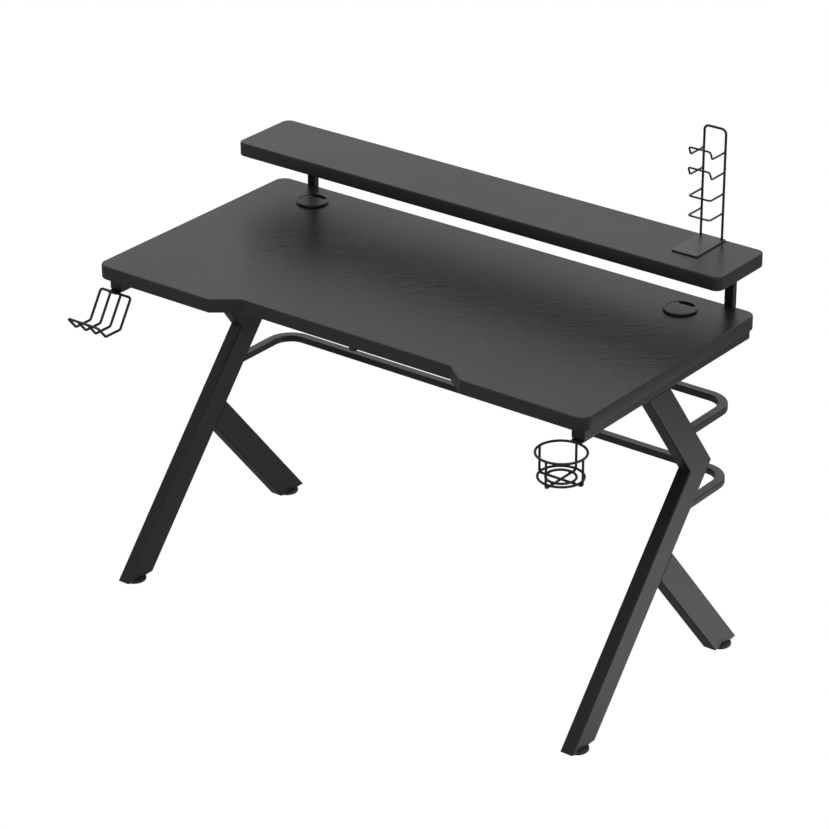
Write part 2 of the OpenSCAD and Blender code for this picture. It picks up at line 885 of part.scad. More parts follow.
// Flat plate at the end of a post, welded to it and screwed to a board
module post_plate(s, z, l, screw_ys) {
  difference() {
    translate([s * post_x, post_rear - l / 2, z])
      linear_extrude(height = post_plate_t)
        rounded_plan(post_plate_w, l, screw_d);
    for (y = screw_ys)
      hole(s * post_x, y, z - cut, screw_d / 2 + screw_gap, post_plate_t + 2 * cut);
  }
}

module post_foot_plates() {
  color(frame_colour)
    framed()
      for (s = SIDES)
        post_plate(s, desk_under - post_plate_t, foot_plate_l, foot_screw_ys);
}

module post_head_plates() {
  color(frame_colour)
    framed()
      for (s = SIDES)
        post_plate(s, shelf_under - post_plate_t, head_plate_l, head_screw_ys);
}

module post_screws() {
  color(steel_colour)
    framed()
      for (s = SIDES, y = foot_screw_ys)
        screw(s * post_x, y, desk_under - post_plate_t, screw_d, plate_screw_l);
}

module shelf_screws() {
  color(steel_colour)
    framed()
      for (s = SIDES, y = head_screw_ys)
        screw(s * post_x, y, shelf_under - post_plate_t, screw_d, plate_screw_l);
}

module desktop_screws() {
  color(steel_colour)
    framed()
      for (s = SIDES, y = rail_screw_ys)
        screw(s * frame_x, y, rail_under, big_screw_d, rail_h + big_screw_bite);
}

module desktop_inserts() {
  color(brass_colour)
    framed() {
      for (s = SIDES) {
        for (y = rail_screw_ys)
          insert(s * frame_x, y, desk_under, big_screw_d, big_screw_bite);
        for (y = foot_screw_ys)
          insert(s * post_x, y, desk_under, screw_d, screw_bite);
      }
      insert(0, cable_hook_screw_y, desk_under, screw_d, screw_bite);
    }
}

module shelf_inserts() {
  color(brass_colour)
    framed()
      for (s = SIDES, y = head_screw_ys)
        insert(s * post_x, y, shelf_under, screw_d, screw_bite);
}

// Cable outlets: a liner in the desktop, and a cap that turns in its rim

module outlet_liner(s) {
  color(plastic_colour)
    framed()
      translate([s * outlet_x, outlet_y, table_h])
        difference() {
          union() {
            translate([0, 0, -outlet_sleeve])
              cylinder(h = outlet_sleeve + outlet_rim_h / 2, r = sleeve_r);
            cylinder(h = outlet_rim_h, r = rim_r);
          }
          translate([0, 0, -outlet_sleeve - cut])
            cylinder(h = outlet_sleeve + outlet_rim_h + 2 * cut, r = bore_r);
          translate([0, 0, outlet_rim_h - cap_drop - cap_t - moving_gap])
            cylinder(h = cap_drop + cap_t + moving_gap + cut, r = recess_r);
        }
}

module outlet_cap(s) {
  end_r = cap_slot_d / 2;
  color(plastic_colour)
    framed()
      translate([s * outlet_x, outlet_y, cap_under])
        difference() {
          cylinder(h = cap_t, r = cap_r);
          translate([0, cap_slot_back + end_r, -cut])
            linear_extrude(height = cap_t + 2 * cut) {
              square([cap_slot_l - 2 * end_r, 2 * end_r], center = true);
              for (t = SIDES)
                translate([t * (cap_slot_l / 2 - end_r), 0])
                  circle(r = end_r);
              translate([0, end_r])
                square([cap_slot_l, 2 * end_r], center = true);
            }
        }
}

// Controller stand on the shelf

module stand_base() {
  color(frame_colour)
    framed()
      difference() {
        translate([stand_x, stand_plate_y, shelf_top])
          linear_extrude(height = stand_plate_t)
            rounded_plan(stand_plate_w, stand_plate_d, stand_plate_t);
        for (y = stand_screw_ys)
          hole(stand_x, y, shelf_top - cut, screw_d / 2 + screw_gap, stand_plate_t / 2 + cut);
      }
}

module stand_hoop() {
  left = stand_x - stand_span / 2;
  right = stand_x + stand_span / 2;
  foot = shelf_top + stand_plate_t;
  top = shelf_top + stand_h;
  color(wire_colour)
    framed()
      wire([[left, stand_y, foot], [left, stand_y, top], [right, stand_y, top], [right, stand_y, foot]],
        hoop_wire_r, hoop_bend_r);
}

// Points of a wire that goes forward from both uprights, joined by its front bar
function stand_arm(side) =
  let (
    last = len(side) - 1,
    left = [stand_x - stand_span / 2, 0, 0],
    right = [stand_x + stand_span / 2, 0, 0]
  )
  [
    for (p = side) p + left,
    for (i = [last : -1 : 0]) side[i] + right
  ];

// Hook that holds a controller: level arms with a raised lip
module stand_hook(h) {
  z = shelf_top + h;
  bend_y = stand_y - hook_reach;
  side = [
    [0, stand_y - hoop_wire_r, z],
    [0, bend_y, z],
    [0, bend_y - hook_lip_reach, z + hook_lip_rise]
  ];
  color(wire_colour)
    framed()
      sloped_wire(stand_arm(side), stand_wire_r, stand_bend_r);
}

// Level loop for the leads
module stand_loop(h) {
  z = shelf_top + h;
  side = [
    [0, stand_y - hoop_wire_r, z],
    [0, stand_y - loop_reach, z]
  ];
  color(wire_colour)
    framed()
      wire(stand_arm(side), stand_wire_r, stand_bend_r);
}

module stand_screws() {
  color(steel_colour)
    framed()
      for (y = stand_screw_ys)
        screw(stand_x, y, shelf_under, screw_d, shelf_t + stand_plate_t / 2 - screw_gap);
}

// Controller hanger under the front of the left rail

module holder_plate(s, front) {
  difference() {
    translate([s * frame_x - plate_w / 2, front, rail_under - plate_t])
      cube([plate_w, plate_rear - front, plate_t]);
    for (y = plate_screw_ys)
      hole(s * frame_x, y, rail_under - plate_t - cut, screw_d / 2 + screw_gap, plate_t + 2 * cut);
  }
}

module hanger_plate() {
  color(frame_colour)
    framed()
      holder_plate(-1, hanger_bar_y - hanger_tongue);
}

module hanger_top_bar() {
  half = hanger_w / 2 + hanger_wire_r;
  color(wire_colour)
    framed()
      rod([-frame_x - half, hanger_bar_y, hanger_bar_z], [-frame_x + half, hanger_bar_y, hanger_bar_z],
        hanger_wire_r);
}

// Side view of a hanger wire, from the top bar down, forward and up to the lip
function hanger_side(tip_gap) =
  let (
    bar = [0, hanger_bar_y, hanger_bar_z],
    back = [0, hanger_back_y, hanger_floor_z],
    front = [0, hanger_front_y, hanger_floor_z],
    tip = [0, hanger_tip_y, hanger_tip_z]
  )
  [bar + unit(back - bar) * hanger_wire_r, back, front, tip - unit(tip - front) * tip_gap];

module hanger_outer_wire() {
  side = hanger_side(0);
  last = len(side) - 1;
  left = [-frame_x - hanger_w / 2, 0, 0];
  right = [-frame_x + hanger_w / 2, 0, 0];
  color(wire_colour)
    framed()
      sloped_wire([for (p = side) p + left, for (i = [last : -1 : 0]) side[i] + right],
        hanger_wire_r, hanger_bend_r);
}

module hanger_inner_wires() {
  color(wire_colour)
    framed()
      for (s = SIDES)
        sloped_wire([for (p = hanger_side(hanger_wire_r)) p + [-frame_x + s * hanger_wire_gap / 2, 0, 0]],
          hanger_wire_r, hanger_bend_r);
}

// Cup holder under the front of the right rail

module cup_plate() {
  color(frame_colour)
    framed()
      holder_plate(1, cup_y + cup_r - cup_wire_r);
}

module cup_top_ring() {
  color(wire_colour)
    framed()
      ring(cup_x, cup_y, cup_ring_z, cup_r, cup_wire_r);
}

module cup_lower_ring() {
  color(wire_colour)
    framed()
      ring(cup_x, cup_y, cup_lower_z, cup_lower_r, cup_wire_r);
}

module cup_floor_ring() {
  color(wire_colour)
    framed()
      ring(cup_x, cup_y, cup_floor_z, cup_floor_r, cup_wire_r);
}

module cup_cross_wire() {
  top = cup_ring_z - cup_wire_r;
  color(wire_colour)
    framed()
      wire([
        [cup_x - cup_r, cup_y, top], [cup_x - cup_r, cup_y, cup_base_z],
        [cup_x + cup_r, cup_y, cup_base_z], [cup_x + cup_r, cup_y, top]
      ], cup_wire_r, cup_bend_r);
}

module cup_side_wires() {
  top = cup_ring_z - cup_wire_r;
  color(wire_colour)
    framed()
      for (s = SIDES)
        wire([
          [cup_x, cup_y + s * cup_r, top], [cup_x, cup_y + s * cup_r, cup_base_z],
          [cup_x, cup_y + s * cup_wire_r, cup_base_z]
        ], cup_wire_r, cup_bend_r);
}

module holder_screws() {
  color(steel_colour)
    framed()
      for (s = SIDES, y = plate_screw_ys)
        screw(s * frame_x, y, rail_under - plate_t, screw_d, holder_screw_l);
}

// Nuts welded inside the rails for the holders' screws
module holder_nuts() {
  color(steel_colour)
    framed()
      for (s = SIDES, y = plate_screw_ys)
        translate([s * frame_x, y, rail_under + frame_wall])
          difference() {
            cylinder(h = nut_h, r = nut_r, $fn = 6);
            translate([0, 0, -cut])
              cylinder(h = nut_h + 2 * cut, r = screw_d / 2 + screw_gap);
          }
}

// Levelling feet

module foot(s, y) {
  flat_r = foot_d / 2 - foot_edge_r;
  color(plastic_colour)
    framed()
      translate([s * frame_x, y, 0])
        difference() {
          rotate_extrude() {
            translate([0, foot_edge_r])
              square([foot_d / 2, foot_t - 2 * foot_edge_r]);
            square([flat_r, foot_t]);
            for (z = [foot_edge_r, foot_t - foot_edge_r])
              translate([flat_r, z])
                circle(r = foot_edge_r);
          }
          translate([0, 0, foot_t - stud_flange_t])
            cylinder(h = stud_flange_t + cut, r = stud_flange_d / 2);
        }
}

module stud(s, y) {
  color(steel_colour)
    framed()
      translate([s * frame_x, y, foot_t - stud_flange_t]) {
        cylinder(h = stud_flange_t, r = stud_flange_d / 2 - screw_gap / 2);
        cylinder(h = stud_flange_t + stud_l, r = stud_d / 2);
      }
}

// Hook for cables under the front of the desktop

module cable_hook() {
  t = cable_hook_t;
  low = desk_under - cable_hook_h;
  color(frame_colour)
    framed()
      difference() {
        translate([-cable_hook_w / 2, cable_hook_y, 0]) {
          translate([0, 0, desk_under - t])
            cube([cable_hook_w, cable_hook_seat, t]);
          translate([0, 0, low])
            cube([cable_hook_w, t, cable_hook_h]);
          translate([0, 0, low])
            cube([cable_hook_w, cable_hook_d, t]);
          translate([0, cable_hook_d - t, low])
            cube([cable_hook_w, t, cable_hook_lip]);
        }
        hole(0, cable_hook_screw_y, desk_under - t - cut, screw_d / 2 + screw_gap, t + 2 * cut);
      }
}

module cable_hook_screw() {
  color(steel_colour)
    framed()
      screw(0, cable_hook_screw_y, desk_under - cable_hook_t, screw_d, cable_hook_t + screw_bite);
}

desktop();
shelf();
rail(-1);  // left_rail
rail(1);  // right_rail
upper_leg(-1);  // left_upper_leg
upper_leg(1);  // right_upper_leg
lower_leg(-1);  // left_lower_leg
lower_leg(1);  // right_lower_leg
rear_strut(-1);  // left_rear_strut
rear_strut(1);  // right_rear_strut
rail_end_caps();
foot_plugs();
upper_stretcher();
lower_stretcher();
stretcher_spigots();
stretcher_screws();
shelf_post(-1);  // left_shelf_post
shelf_post(1);  // right_shelf_post
post_foot_plates();
post_head_plates();
post_screws();
shelf_screws();
desktop_screws();
desktop_inserts();
shelf_inserts();
outlet_liner(-1);  // left_outlet_liner
outlet_liner(1);  // right_outlet_liner
outlet_cap(-1);  // left_outlet_cap
outlet_cap(1);  // right_outlet_cap
stand_base();
stand_hoop();
stand_hook(upper_hook_h);  // stand_upper_hook
stand_hook(lower_hook_h);  // stand_lower_hook
stand_loop(upper_loop_h);  // stand_upper_loop
stand_loop(lower_loop_h);  // stand_lower_loop
stand_screws();
hanger_plate();
hanger_top_bar();
hanger_outer_wire();
hanger_inner_wires();
cup_plate();
cup_top_ring();
cup_lower_ring();
cup_floor_ring();
cup_cross_wire();
cup_side_wires();
holder_screws();
holder_nuts();
foot(-1, front_foot_y);  // left_front_foot
foot(1, front_foot_y);  // right_front_foot
foot(-1, rear_foot_y);  // left_rear_foot
foot(1, rear_foot_y);  // right_rear_foot
stud(-1, front_foot_y);  // left_front_stud
stud(1, front_foot_y);  // right_front_stud
stud(-1, rear_foot_y);  // left_rear_stud
stud(1, rear_foot_y);  // right_rear_stud
cable_hook();
cable_hook_screw();
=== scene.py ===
"""Looks, light and camera of the gaming desk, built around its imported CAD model.

Blender works in metres, in the CAD's own frame: +X to the user's right, +Y to the back, +Z up, and the origin
on the floor under the middle of the whole outline. Places are written here in millimetres, across from the
middle between the side frames, back from the desktop's front edge and up from the floor, as a designer would
measure them, and at() moves them over.
"""

import json
import math

import bmesh
import bpy
from mathutils import Matrix, Vector
from mathutils.geometry import tessellate_polygon


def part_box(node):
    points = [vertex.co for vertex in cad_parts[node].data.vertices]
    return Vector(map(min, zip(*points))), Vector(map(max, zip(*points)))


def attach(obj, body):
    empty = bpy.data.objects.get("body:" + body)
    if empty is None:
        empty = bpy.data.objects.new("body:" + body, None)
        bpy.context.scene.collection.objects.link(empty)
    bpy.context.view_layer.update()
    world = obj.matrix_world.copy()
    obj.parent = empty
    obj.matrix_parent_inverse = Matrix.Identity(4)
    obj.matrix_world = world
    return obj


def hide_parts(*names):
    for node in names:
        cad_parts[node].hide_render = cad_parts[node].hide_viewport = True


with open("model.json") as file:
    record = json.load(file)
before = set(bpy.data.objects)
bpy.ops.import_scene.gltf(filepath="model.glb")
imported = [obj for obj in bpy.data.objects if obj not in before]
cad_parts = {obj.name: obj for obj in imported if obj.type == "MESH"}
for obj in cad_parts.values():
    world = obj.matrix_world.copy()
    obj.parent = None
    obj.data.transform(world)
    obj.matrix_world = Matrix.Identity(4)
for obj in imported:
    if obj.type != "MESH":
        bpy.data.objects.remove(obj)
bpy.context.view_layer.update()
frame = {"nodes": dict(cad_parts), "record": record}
record = frame["record"]

# The middle between the side frames and the desktop's front edge, in millimetres from the frame's origin
MIDDLE_X = 500 * (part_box("left_rail")[0][0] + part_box("right_rail")[1][0])
FRONT_Y = 1000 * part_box("desktop")[0][1]

# Tops of the two boards, their thickness, and the way from the middle to the middle of each side frame
TABLE_Z = 735.0
SHELF_Z = 861.0
BOARD_T = 30.0
FRAME_X = 574.0

# Faces that meet at more than this angle keep a sharp edge between them
SHARP_ANGLE = math.radians(40)

# Most of a noise's values lie between these
NOISE_LOW, NOISE_HIGH = 0.3, 0.7


def at(x, y, z):
    """Place in the frame, in metres, of a place on the desk in millimetres."""
    return Vector((x + MIDDLE_X, y + FRONT_Y, z)) / 1000


# Materials


class Graph:
    """Short way to add and join the nodes of one material."""

    def __init__(self, name):
        self.material = bpy.data.materials.new(name)
        self.material.use_nodes = True
        self.tree = self.material.node_tree
        self.shader = self.tree.nodes["Principled BSDF"]
        self.place = self.add("ShaderNodeTexCoord").outputs["Object"]

    def add(self, kind, **values):
        """New node; values are sockets by name, with _ for a space, or else the node's own settings."""
        node = self.tree.nodes.new(kind)
        for key, value in values.items():
            socket = node.inputs.get(key.replace("_", " "))
            if socket is None:
                setattr(node, key, value)
            elif isinstance(value, bpy.types.NodeSocket):
                self.tree.links.new(value, socket)
            else:
                socket.default_value = value
        return node

    def join(self, node, sockets):
        """Links values to a node's inputs, which are given by number or name."""
        for place, value in sockets.items():
            self.tree.links.new(value, node.inputs[place])

    def stretched(self, x, y, z):
        """The object's own coordinates, times a scale for each axis."""
        return self.add("ShaderNodeMapping", Vector=self.place, Scale=(x, y, z)).outputs["Vector"]

    def turned(self, x, y, z, angle):
        """The same, turned first about the upright axis by an angle in degrees."""
        turn = self.add("ShaderNodeMapping", Vector=self.place, Rotation=(0, 0, math.radians(angle)))
        return self.add("ShaderNodeMapping", Vector=turn.outputs["Vector"], Scale=(x, y, z)).outputs["Vector"]

    def maths(self, operation, *values):
        """Result of a sum with one or two values."""
        node = self.add("ShaderNodeMath", operation=operation)
        self.join(node, dict(enumerate(values)))
        return node.outputs[0]

    def blend(self, factor, low, high):
        """Number between two others, by a factor from 0 to 1."""
        node = self.add("ShaderNodeMix", data_type="FLOAT")
        self.join(node, {0: factor, 2: low, 3: high})
        return node.outputs[0]

    def blend_colour(self, factor, low, high):
        """Colour between two others, by a factor from 0 to 1."""
        node = self.add("ShaderNodeMix", data_type="RGBA")
        self.join(node, {0: factor, 6: low, 7: high})
        return node.outputs[2]

    def noise(self, place, scale, detail, roughness=0.5):
        """Noise of a scale in waves per metre."""
        return self.add("ShaderNodeTexNoise", Vector=place, Scale=scale, Detail=detail,
                        Roughness=roughness).outputs["Fac"]

    def spread(self, value, low, high, start=NOISE_LOW, end=NOISE_HIGH):
        """Maps the numbers from start to end, a noise's if not given, onto those from low to high."""
        node = self.add("ShaderNodeMapRange", Value=value)
        node.inputs["From Min"].default_value = start
        node.inputs["From Max"].default_value = end
        node.inputs["To Min"].default_value = low
        node.inputs["To Max"].default_value = high
        return node.outputs["Result"]

    def tint(self, value, dark, light):
        """Colour between two others, chosen by a noise."""
        node = self.add("ShaderNodeValToRGB", Fac=value)
        ends = (NOISE_LOW, dark), (NOISE_HIGH, light)
        for element, (position, colour) in zip(node.color_ramp.elements, ends):
            element.position = position
            element.color = (*colour, 1)
        return node.outputs["Color"]

    def bump(self, height, depth, strength, below=None):
        """Relief of the given depth in metres, on top of another relief if one is given."""
        node = self.add("ShaderNodeBump", Height=height, Distance=depth, Strength=strength)
        if below is not None:
            self.join(node, {"Normal": below})
        return node.outputs["Normal"]

    def finish(self, colour, roughness, normal, **constants):
        """Joins the shader's main inputs and sets others, with _ for a space; gives the material."""
        self.join(self.shader, {"Base Color": colour, "Roughness": roughness, "Normal": normal})
        for key, value in constants.items():
            self.shader.inputs[key.replace("_", " ")].default_value = value
        return self.material


def laminate():
    """Black laminate: fine wavy ripples are pressed into its level faces; its edge band is plain and duller,
    with lighter colours that are painted light on the board's sides.
    """
    face_colours = (0.0065, 0.0065, 0.007), (0.0135, 0.0135, 0.0142)
    # Painted light: the edge band's colours are lighter than the faces' and stand in for light falling on the
    # board's front and sides
    edge_painted_light_colours = (0.014, 0.014, 0.0145), (0.019, 0.019, 0.0198)
    face_rough, rough_wander, edge_rough = (0.28, 0.385), (-0.02, 0.02), (0.5, 0.56)
    face_specular, edge_specular = (0.32, 0.42), (0.6, 0.64)
    wave_range = (0, 1)
    grain_angle = -37

    g = Graph("laminate")
    upward = g.add("ShaderNodeSeparateXYZ", Vector=g.add("ShaderNodeTexCoord").outputs["Normal"]).outputs["Z"]
    # 1 on the level faces, 0 on the edge band, and between them over the rounded edge
    face = g.spread(g.maths("ABSOLUTE", upward), 0.0, 1.0, start=0.55, end=0.95)
    wander = g.noise(g.stretched(1, 1, 1), scale=6, detail=1)
    ripples = g.add("ShaderNodeTexWave", Vector=g.turned(0.22, 1, 1, grain_angle), bands_direction="Y",
                    Scale=62, Distortion=9, Detail=2, Detail_Scale=1.3, Detail_Roughness=0.6).outputs["Fac"]
    pores = g.noise(g.stretched(0.3, 1, 1), scale=1100, detail=2)
    shade = g.noise(g.stretched(0.5, 1, 1), scale=40, detail=4)
    relief = g.bump(g.maths("MULTIPLY", face, ripples), depth=0.0004, strength=0.29)
    relief = g.bump(pores, depth=0.00008, strength=0.15, below=relief)
    gloss = g.maths("ADD", g.spread(wander, *rough_wander), g.spread(ripples, *face_rough, *wave_range))
    rough = g.blend(face, g.spread(wander, *edge_rough), gloss)
    shine = g.blend(face, g.spread(wander, *edge_specular), g.spread(ripples, *face_specular, *wave_range))
    g.join(g.shader, {"Specular IOR Level": shine})
    # The edge band takes the lighter colours, painted light on the board's front and sides
    colour = g.blend_colour(face, g.tint(shade, *edge_painted_light_colours), g.tint(ripples, *face_colours))
    return g.finish(colour, rough, relief, IOR=1.45)


def powder_coat(name, dark, light, low, high, ior=1.45):
    """Satin powder coat with its fine orange-peel skin; its roughness goes from low to high."""
    g = Graph(name)
    peel = g.noise(g.place, scale=700, detail=2, roughness=0.6)
    flow = g.noise(g.place, scale=60, detail=2)
    clouds = g.noise(g.place, scale=9, detail=3)
    relief = g.bump(flow, depth=0.0004, strength=0.12)
    relief = g.bump(peel, depth=0.00008, strength=0.45, below=relief)
    return g.finish(g.tint(clouds, dark, light), g.spread(peel, low, high), relief, IOR=ior)


def moulded(name, dark, light, low, high):
    """Black moulded plastic with a fine spark-eroded grain; its roughness goes from low to high."""
    g = Graph(name)
    grain = g.noise(g.place, scale=2200, detail=2)
    clouds = g.noise(g.place, scale=25, detail=2)
    return g.finish(g.tint(clouds, dark, light), g.spread(clouds, low, high),
                    g.bump(grain, depth=0.00004, strength=0.35), IOR=1.46)


def metal(name, dark, light, low, high):
    """Plated or turned metal with fine marks; its roughness goes from low to high."""
    g = Graph(name)
    marks = g.noise(g.stretched(1, 1, 0.2), scale=1500, detail=3)
    patches = g.noise(g.place, scale=120, detail=3)
    return g.finish(g.tint(patches, dark, light), g.spread(patches, low, high),
                    g.bump(marks, depth=0.00002, strength=0.3), Metallic=1.0)


# Each slot's kind of surface, its darkest and lightest colour, and its lowest and highest roughness
FINISHES = {
    "frame_paint": (powder_coat, (0.009, 0.009, 0.0095), (0.0125, 0.0125, 0.013), 0.36, 0.46),
    "wire_paint": (powder_coat, (0.007, 0.007, 0.0075), (0.0095, 0.0095, 0.01), 0.32, 0.42),
    "plastic": (moulded, (0.010, 0.010, 0.0105), (0.014, 0.014, 0.0145), 0.33, 0.41),
    "foot_plastic": (moulded, (0.022, 0.022, 0.0225), (0.03, 0.03, 0.0305), 0.45, 0.55),
    "screw_steel": (metal, (0.05, 0.05, 0.052), (0.09, 0.09, 0.095), 0.35, 0.5),
    "zinc_steel": (metal, (0.48, 0.49, 0.5), (0.6, 0.61, 0.63), 0.3, 0.45),
    "insert_brass": (metal, (0.6, 0.47, 0.24), (0.74, 0.6, 0.33), 0.28, 0.4),
}
MATERIALS = {"laminate": laminate()}
MATERIALS.update((name, make(name, *values)) for name, (make, *values) in FINISHES.items())

SLOTS = {part["node"]: part["material_slot"] for part in record["subparts"]}
for node, node_object in frame["nodes"].items():
    for material_slot in node_object.material_slots:
        material_slot.material = MATERIALS[SLOTS[node]]


# Mesh makers


def new_piece(name, bm, nodes, slot=None, body="frame"):
    """Turns a bmesh into a smooth-shaded piece that stands for some nodes and rides on a body."""
    mesh = bpy.data.meshes.new(name)
    bmesh.ops.recalc_face_normals(bm, faces=bm.faces)
    bm.to_mesh(mesh)
    bm.free()
    mesh.shade_smooth()
    mesh.set_sharp_from_angle(angle=SHARP_ANGLE)
    piece = bpy.data.objects.new(name, mesh)
    bpy.context.collection.objects.link(piece)
    slot = slot or SLOTS[nodes[0]]
    mesh.materials.append(MATERIALS[slot])
    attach(piece, body)
    if nodes:
        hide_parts(*nodes)
    return piece


def skin_between(bm, lower, upper):
    """Band of faces between two closed rows of vertices."""
    count = len(lower)
    for k in range(count):
        j = (k + 1) % count
        bm.faces.new((lower[k], lower[j], upper[j], upper[k]))


def skin(bm, rings):
    """Bands of faces from each closed row of vertices to the next."""
    for lower, upper in zip(rings, rings[1:]):
        skin_between(bm, lower, upper)


def outline(corners, inset=0.0, parts=8):
    """Points of a plan with rounded corners (x, y, radius), anticlockwise, moved in by an inset."""
    points = []
    count = len(corners)
    for i, (x, y, radius) in enumerate(corners):
        here = Vector((x, y))
        a = (here - Vector(corners[i - 1][:2])).normalized()
        b = (Vector(corners[(i + 1) % count][:2]) - here).normalized()
        turn = math.atan2(a.x * b.y - a.y * b.x, a.dot(b))
        side = math.copysign(1, turn)
        centre = here - a * radius * math.tan(abs(turn) / 2) + Vector((-a.y, a.x)) * radius * side
        for k in range(parts + 1):
            t = turn * k / parts
            out = Vector((a.y, -a.x)) * side
            out = Vector((out.x * math.cos(t) - out.y * math.sin(t),
                          out.x * math.sin(t) + out.y * math.cos(t)))
            points.append(centre + out * (radius - inset * side))
    return points


def circle(x, y, radius, sides=72):
    """Points of a circle, anticlockwise."""
    turns = [math.tau * k / sides for k in range(sides)]
    return [Vector((x + radius * math.cos(t), y + radius * math.sin(t))) for t in turns]


def slab(corners, low, high, edge, holes=(), parts=8):
    """Level board with rounded edges and straight holes, in millimetres."""
    steps = 4
    land = min(0.6, edge)
    turns = [math.pi / 2 * k / steps for k in range(steps + 1)]
    profile = [(edge + land, low)]
    profile += [(edge * (1 - math.sin(t)), low + edge * (1 - math.cos(t))) for t in turns]
    profile += [(edge * (1 - math.cos(t)), high - edge * (1 - math.sin(t))) for t in turns]
    profile += [(edge + land, high)]
    bm = bmesh.new()
    rings = [[bm.verts.new(at(p.x, p.y, z)) for p in outline(corners, inset, parts)] for inset, z in profile]
    skin(bm, rings)
    walls = [[[bm.verts.new(at(p.x, p.y, z)) for p in hole] for z in (low, high)] for hole in holes]
    for wall in walls:
        skin(bm, wall)
    for level, outer in ((0, rings[0]), (1, rings[-1])):
        loops = [outer] + [wall[level] for wall in walls]
        verts = [v for loop in loops for v in loop]
        for triangle in tessellate_polygon([[v.co for v in loop] for loop in loops]):
            if len(set(triangle)) == 3:
                bm.faces.new([verts[i] for i in triangle])
    return bm


def lathe(profile, x, y, z, sides=96):
    """Closed profile (radius, height) in millimetres, turned about an upright line."""
    bm = bmesh.new()
    turns = [math.tau * k / sides for k in range(sides)]
    rings = [[bm.verts.new(at(x + r * math.cos(t), y + r * math.sin(t), z + h)) for t in turns]
             for r, h in profile]
    skin(bm, rings + rings[:1])
    return bm


def arc(r, h, radius, start, end, steps=4):
    """Rounded edge of a turned profile, between two angles in degrees."""
    turns = [math.radians(start + (end - start) * k / steps) for k in range(steps + 1)]
    return [(r + radius * math.cos(t), h + radius * math.sin(t)) for t in turns]


def bent(points, bend, parts=7):
    """Places along a wire through some points, with its inner corners rounded. All in millimetres."""
    places = [Vector(points[0])]
    for before, here, after in zip(points, points[1:], points[2:]):
        here = Vector(here)
        a = (here - Vector(before)).normalized()
        b = (Vector(after) - here).normalized()
        turn = a.angle(b)
        inward = (b - a * a.dot(b)).normalized()
        start = here - a * bend * math.tan(turn / 2)
        for k in range(parts + 1):
            t = turn * k / parts
            places.append(start + a * bend * math.sin(t) + inward * bend * (1 - math.cos(t)))
    places.append(Vector(points[-1]))
    return places


def both_sides(side_points, left, right):
    """Wire that runs out along one side and back along the other; the points (y, z) are one side's."""
    return [(left, y, z) for y, z in side_points] + [(right, y, z) for y, z in reversed(side_points)]


def tube(bm, places, radius, closed=False, sides=14):
    """Round wire along some places in millimetres, added to a mesh."""
    count = len(places)
    turns = [math.tau * k / sides for k in range(sides)]
    heading = (places[1] - places[0]).normalized()
    across = heading.orthogonal().normalized()
    rings = []
    for i, place in enumerate(places):
        before = places[i - 1] if i or closed else place
        after = places[(i + 1) % count] if i + 1 < count or closed else place
        heading = (after - before).normalized()
        across = (across - heading * across.dot(heading)).normalized()
        other = heading.cross(across)
        rings.append([bm.verts.new(at(*(place + (across * math.cos(t) + other * math.sin(t)) * radius)))
                      for t in turns])
    skin(bm, rings)
    last, first = rings[-1], rings[0]
    if closed:
        # The last ring has turned a little against the first: join each point to its nearest
        shift = min(range(sides), key=lambda k: (first[k].co - last[0].co).length)
        skin_between(bm, last, first[shift:] + first[:shift])
    else:
        bm.faces.new(first)
        bm.faces.new(last)
    return bm


def wire(name, points, radius, bend, nodes):
    """Piece of round wire, bent through some points."""
    return new_piece(name, tube(bmesh.new(), bent(points, bend), radius), nodes)


def hoop(name, x, y, z, ring_radius, radius, nodes):
    """Piece of round wire, closed to a level ring."""
    places = [Vector((p.x, p.y, z)) for p in circle(x, y, ring_radius)]
    return new_piece(name, tube(bmesh.new(), places, radius, closed=True), nodes)


def strip(name, points, width, thickness, bend, nodes):
    """Flat strip bent through some places (y, z) at its middle, lying across the desk's middle."""
    places = bent([(0, y, z) for y, z in points], bend, parts=5)
    half, thin, soft = width / 2, thickness / 2, 0.4
    section = [(p.x, p.y) for p in outline([(-half, -thin, soft), (half, -thin, soft),
                                            (half, thin, soft), (-half, thin, soft)], parts=3)]
    bm = bmesh.new()
    rings = []
    for i, place in enumerate(places):
        heading = (places[min(i + 1, len(places) - 1)] - places[max(i - 1, 0)]).normalized()
        normal = heading.cross(Vector((1, 0, 0)))
        rings.append([bm.verts.new(at(*(place + Vector((u, 0, 0)) + normal * v))) for u, v in section])
    skin(bm, rings)
    bm.faces.new(rings[0])
    bm.faces.new(rings[-1])
    return new_piece(name, bm, nodes)


def blobs(name, places, radius):
    """Beads of weld where painted wires touch, each a little different in size and a little uneven."""
    size_change, size_step = 0.08, 5.1
    form_change, form_step = 0.07, 1.7
    bm = bmesh.new()
    for i, place in enumerate(places):
        size = radius * (1 + size_change * math.sin(size_step * i))
        made = bmesh.ops.create_icosphere(bm, subdivisions=2, radius=size / 1000)
        for k, vert in enumerate(made["verts"]):
            vert.co *= 1 + form_change * math.sin(form_step * k + i)
            vert.co += at(*place)
    return new_piece(name, bm, [], "wire_paint")


# Boards: both lie 5 mm to the left of the side frames' middle, and the desktop has a cut-out in its front

LEFT_END, RIGHT_END = -610.0, 600.0
BOARD_EDGE = 3
DESK_BACK, DESK_CORNER = 600, 25
CUTOUT_OUTER, CUTOUT_INNER, CUTOUT_DEPTH, CUTOUT_CORNER = 312, 260, 40, 5
SHELF_FRONT, SHELF_BACK, SHELF_CORNER = 451, 621, 18
OUTLET_X, OUTLET_Y, OUTLET_HOLE_R = 466.5, 525.0, 30

